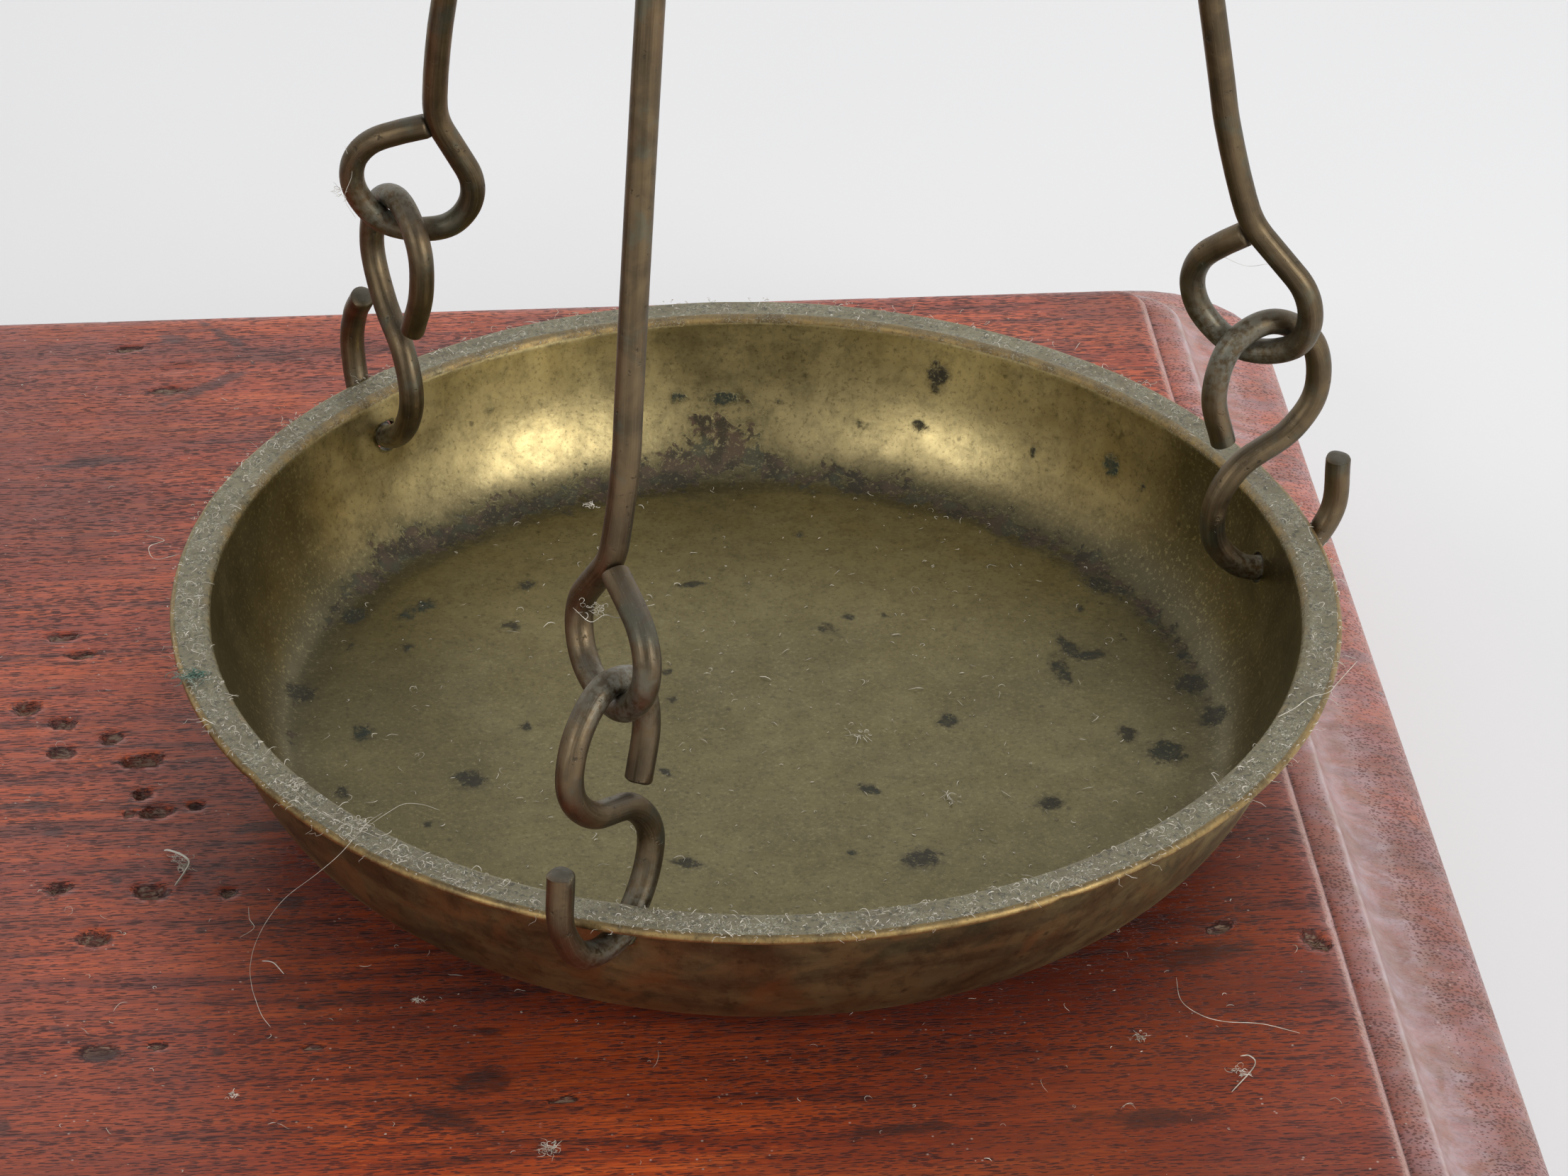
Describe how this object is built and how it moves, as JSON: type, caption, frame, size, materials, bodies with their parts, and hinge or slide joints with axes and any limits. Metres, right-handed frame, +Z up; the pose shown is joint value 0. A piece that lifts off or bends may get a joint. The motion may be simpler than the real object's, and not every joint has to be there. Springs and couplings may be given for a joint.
{
  "type": "letter scale",
  "caption": "Column letter scale: moulded wooden base, turned column, tilting beam, and round dished pans hung on wire rods and S-hooks.",
  "frame": {"origin": "centre of the footprint, on the table plane under the feet", "axes": "+X along the base towards the pan that hangs low, +Y to the back, +Z up the column"},
  "size_m": [0.363, 0.211, 0.4137],
  "materials": {
    "base_board": "old shellacked mahogany, satin, scuffed",
    "foot_front_left": "old shellacked mahogany, satin, scuffed",
    "foot_front_right": "old shellacked mahogany, satin, scuffed",
    "foot_back_left": "old shellacked mahogany, satin, scuffed",
    "foot_back_right": "old shellacked mahogany, satin, scuffed",
    "column_foot": "aged lacquered brass",
    "column_foot_screw_1": "plain bright steel",
    "column_foot_screw_2": "plain bright steel",
    "column_foot_screw_3": "plain bright steel",
    "column_shaft": "aged lacquered brass",
    "column_capital": "aged lacquered brass",
    "bearing_fork": "aged lacquered brass",
    "fork_finial": "aged lacquered brass",
    "bearing_front": "plain bright steel",
    "bearing_back": "plain bright steel",
    "beam": "aged lacquered brass",
    "beam_knife_centre": "plain bright steel",
    "beam_knife_left": "plain bright steel",
    "beam_knife_right": "plain bright steel",
    "tongue": "aged lacquered brass",
    "tongue_screw": "plain bright steel",
    "stirrup_right": "aged lacquered brass",
    "stirrup_plane_right": "plain bright steel",
    "hanger_hook_right": "brown tarnished brass wire, satin",
    "hanger_ring_right": "brown tarnished brass wire, satin",
    "rod_outer_right": "brown tarnished brass wire, satin",
    "rod_front_right": "brown tarnished brass wire, satin",
    "rod_back_right": "brown tarnished brass wire, satin",
    "pan_hook_outer_right": "brown tarnished brass wire, satin",
    "pan_hook_front_right": "brown tarnished brass wire, satin",
    "pan_hook_back_right": "brown tarnished brass wire, satin",
    "pan_right": "olive tarnished spun brass with dark spots",
    "stirrup_left": "aged lacquered brass",
    "stirrup_plane_left": "plain bright steel",
    "hanger_hook_left": "brown tarnished brass wire, satin",
    "hanger_ring_left": "brown tarnished brass wire, satin",
    "rod_outer_left": "brown tarnished brass wire, satin",
    "rod_front_left": "brown tarnished brass wire, satin",
    "rod_back_left": "brown tarnished brass wire, satin",
    "pan_hook_outer_left": "brown tarnished brass wire, satin",
    "pan_hook_front_left": "brown tarnished brass wire, satin",
    "pan_hook_back_left": "brown tarnished brass wire, satin",
    "pan_left": "olive tarnished spun brass with dark spots"
  },
  "bodies": {
    "base": {"base_board": "base_board", "foot_front_left": "foot_front_left", "foot_front_right": "foot_front_right", "foot_back_left": "foot_back_left", "foot_back_right": "foot_back_right", "column_foot": "column_foot", "column_foot_screw_1": "column_foot_screw_1", "column_foot_screw_2": "column_foot_screw_2", "column_foot_screw_3": "column_foot_screw_3", "column_shaft": "column_shaft", "column_capital": "column_capital", "bearing_fork": "bearing_fork", "fork_finial": "fork_finial", "bearing_front": "bearing_front", "bearing_back": "bearing_back"},
    "balance_beam": {"beam": "beam", "beam_knife_centre": "beam_knife_centre", "beam_knife_left": "beam_knife_left", "beam_knife_right": "beam_knife_right", "tongue": "tongue", "tongue_screw": "tongue_screw"},
    "right_stirrup": {"stirrup_right": "stirrup_right", "stirrup_plane_right": "stirrup_plane_right"},
    "right_hook": {"hanger_hook_right": "hanger_hook_right"},
    "right_pan": {"hanger_ring_right": "hanger_ring_right", "rod_outer_right": "rod_outer_right", "rod_front_right": "rod_front_right", "rod_back_right": "rod_back_right", "pan_hook_outer_right": "pan_hook_outer_right", "pan_hook_front_right": "pan_hook_front_right", "pan_hook_back_right": "pan_hook_back_right", "pan_right": "pan_right"},
    "left_stirrup": {"stirrup_left": "stirrup_left", "stirrup_plane_left": "stirrup_plane_left"},
    "left_hook": {"hanger_hook_left": "hanger_hook_left"},
    "left_pan": {"hanger_ring_left": "hanger_ring_left", "rod_outer_left": "rod_outer_left", "rod_front_left": "rod_front_left", "rod_back_left": "rod_back_left", "pan_hook_outer_left": "pan_hook_outer_left", "pan_hook_front_left": "pan_hook_front_left", "pan_hook_back_left": "pan_hook_back_left", "pan_left": "pan_left"}
  },
  "joints": [
    {"name": "beam_tilt", "type": "hinge", "parent": "base", "child": "balance_beam", "pos_m": [0, 0, 0.35652], "axis": [0, -1, 0], "range_deg": [0, 10]},
    {"name": "right_stirrup_plumb", "type": "hinge", "parent": "balance_beam", "child": "right_stirrup", "pos_m": [0.11456, 0, 0.3465], "axis": [0, -1, 0], "range_deg": [-10, 0]},
    {"name": "right_hook_swing", "type": "hinge", "parent": "right_stirrup", "child": "right_hook", "pos_m": [0.11456, 0, 0.3285], "axis": [0, 1, 0], "range_deg": [-6, 6]},
    {"name": "right_pan_swing", "type": "hinge", "parent": "right_hook", "child": "right_pan", "pos_m": [0.11456, 0, 0.31265], "axis": [1, 0, 0], "range_deg": [-6, 6]},
    {"name": "left_stirrup_plumb", "type": "hinge", "parent": "balance_beam", "child": "left_stirrup", "pos_m": [-0.11456, 0, 0.36655], "axis": [0, -1, 0], "range_deg": [-10, 0]},
    {"name": "left_hook_swing", "type": "hinge", "parent": "left_stirrup", "child": "left_hook", "pos_m": [-0.11456, 0, 0.34855], "axis": [0, 1, 0], "range_deg": [-6, 6]},
    {"name": "left_pan_swing", "type": "hinge", "parent": "left_hook", "child": "left_pan", "pos_m": [-0.11456, 0, 0.3327], "axis": [1, 0, 0], "range_deg": [-6, 6]}
  ],
  "couplings": [
    {"joint": "right_stirrup_plumb", "follows": "beam_tilt", "ratio": -1},
    {"joint": "left_stirrup_plumb", "follows": "beam_tilt", "ratio": -1}
  ]
}
